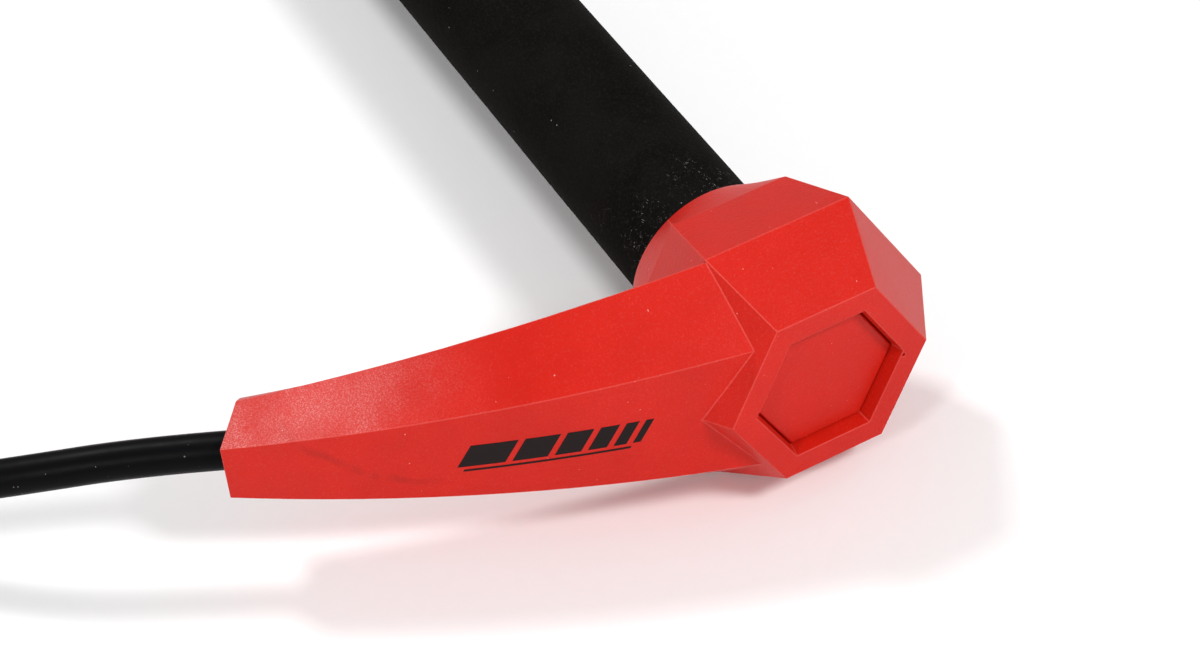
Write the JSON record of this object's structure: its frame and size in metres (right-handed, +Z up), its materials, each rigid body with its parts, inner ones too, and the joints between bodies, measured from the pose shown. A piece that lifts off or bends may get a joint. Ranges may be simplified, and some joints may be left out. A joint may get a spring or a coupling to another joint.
{
  "type": "tow handle",
  "caption": "Water-sports tow handle: a suede-covered grip bar between two faceted rubber end caps, with a coated bridle rope put away in a tied coil.",
  "frame": {"origin": "centre of the handle's footprint on the surface it lies on, without the free rope", "axes": "+X along the grip bar towards the right end cap, -Y the way the bridle pulls, +Z up with the handle lying flat"},
  "size_m": [0.38, 0.2356, 0.0507],
  "materials": {
    "cap_rubber": "satin moulded rubber",
    "cover_rubber": "satin moulded rubber",
    "rope_jacket": "smooth coated rope",
    "washer_plastic": "natural nylon",
    "screw_steel": "plain stainless",
    "insert_plastic": "black nylon",
    "tube_aluminium": "mill finish",
    "grip_foam": "closed-cell sleeve",
    "grip_suede": "brushed synthetic suede",
    "tie_webbing": "hook and loop strap"
  },
  "bodies": {
    "handle": {"end_cap_right": "cap_rubber", "end_cap_left": "cap_rubber", "rope_end_right": "rope_jacket", "rope_end_left": "rope_jacket", "stopper_knot_right": "rope_jacket", "stopper_knot_left": "rope_jacket", "stopper_washer_right": "washer_plastic", "stopper_washer_left": "washer_plastic", "cap_screw_right": "screw_steel", "cap_screw_left": "screw_steel", "screw_washer_right": "screw_steel", "screw_washer_left": "screw_steel", "tube_insert_right": "insert_plastic", "tube_insert_left": "insert_plastic", "bar_tube": "tube_aluminium", "grip_core": "grip_foam", "grip_suede": "grip_suede", "rope_lead_right": "rope_jacket", "rope_lead_left": "rope_jacket", "rope_coil": "rope_jacket", "coil_tie": "tie_webbing"},
    "right_cover": {"knot_cover_right": "cover_rubber"},
    "left_cover": {"knot_cover_left": "cover_rubber"}
  },
  "joints": [
    {"name": "right_cover_pull", "type": "slide", "parent": "handle", "child": "right_cover", "axis": [0.9984, 0.0569, 0], "range_m": [0, 0.02]},
    {"name": "left_cover_pull", "type": "slide", "parent": "handle", "child": "left_cover", "axis": [-0.9984, 0.0569, 0], "range_m": [0, 0.02]}
  ]
}
